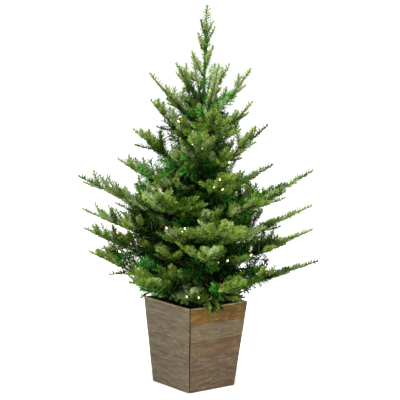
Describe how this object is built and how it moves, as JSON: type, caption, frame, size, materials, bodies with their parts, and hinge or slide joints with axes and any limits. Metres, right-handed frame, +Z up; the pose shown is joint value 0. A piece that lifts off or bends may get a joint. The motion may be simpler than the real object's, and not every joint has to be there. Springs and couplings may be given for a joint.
{
  "type": "potted artificial nordmann fir",
  "caption": "Narrow artificial fir with upswept needled boughs in whorls, mini lights and a tapered square planter of horizontal boards.",
  "frame": {"origin": "middle of the planter's flat underside, at floor level", "axes": "+Z up along the trunk, X and Y along the planter's sides; the picture looks at the corner between the -X and -Y sides"},
  "size_m": [0.7857, 0.751, 1.219],
  "materials": {
    "planter_boards": "weathered grey-brown stain with pale worn edges",
    "fill": "matt dark weighting",
    "pole": "green paint wrapped in green tape",
    "bough_wire": "wire wrapped in green tape",
    "foliage": "satin moulded needles over matt tinsel"
  },
  "bodies": {
    "root": {"panel_front": "planter_boards", "panel_right": "planter_boards", "panel_back": "planter_boards", "panel_left": "planter_boards", "bottom_board": "planter_boards", "weighted_fill": "fill", "trunk": "pole", "bough_a1": "bough_wire", "bough_a2": "bough_wire", "bough_a3": "bough_wire", "bough_a4": "bough_wire", "bough_a5": "bough_wire", "bough_a6": "bough_wire", "bough_b1": "bough_wire", "bough_b2": "bough_wire", "bough_b3": "bough_wire", "bough_b4": "bough_wire", "bough_b5": "bough_wire", "foliage_a1": "foliage", "foliage_a2": "foliage", "foliage_a3": "foliage", "foliage_a4": "foliage", "foliage_a5": "foliage", "foliage_a6": "foliage", "foliage_b1": "foliage", "foliage_b2": "foliage", "foliage_b3": "foliage", "foliage_b4": "foliage", "foliage_b5": "foliage", "foliage_c1": "foliage", "foliage_c2": "foliage", "foliage_c3": "foliage", "foliage_c4": "foliage", "foliage_c5": "foliage", "foliage_d1": "foliage", "foliage_d2": "foliage", "foliage_d3": "foliage", "foliage_d4": "foliage", "foliage_d5": "foliage", "foliage_e1": "foliage", "foliage_e2": "foliage", "foliage_e3": "foliage", "foliage_e4": "foliage", "foliage_f1": "foliage", "foliage_f2": "foliage", "foliage_f3": "foliage", "foliage_f4": "foliage", "foliage_g1": "foliage", "foliage_g2": "foliage", "foliage_g3": "foliage", "foliage_g4": "foliage", "foliage_h1": "foliage", "foliage_h2": "foliage", "foliage_h3": "foliage", "foliage_h4": "foliage", "foliage_i1": "foliage", "foliage_i2": "foliage", "foliage_i3": "foliage", "foliage_i4": "foliage", "foliage_leader": "foliage"}
  },
  "joints": []
}
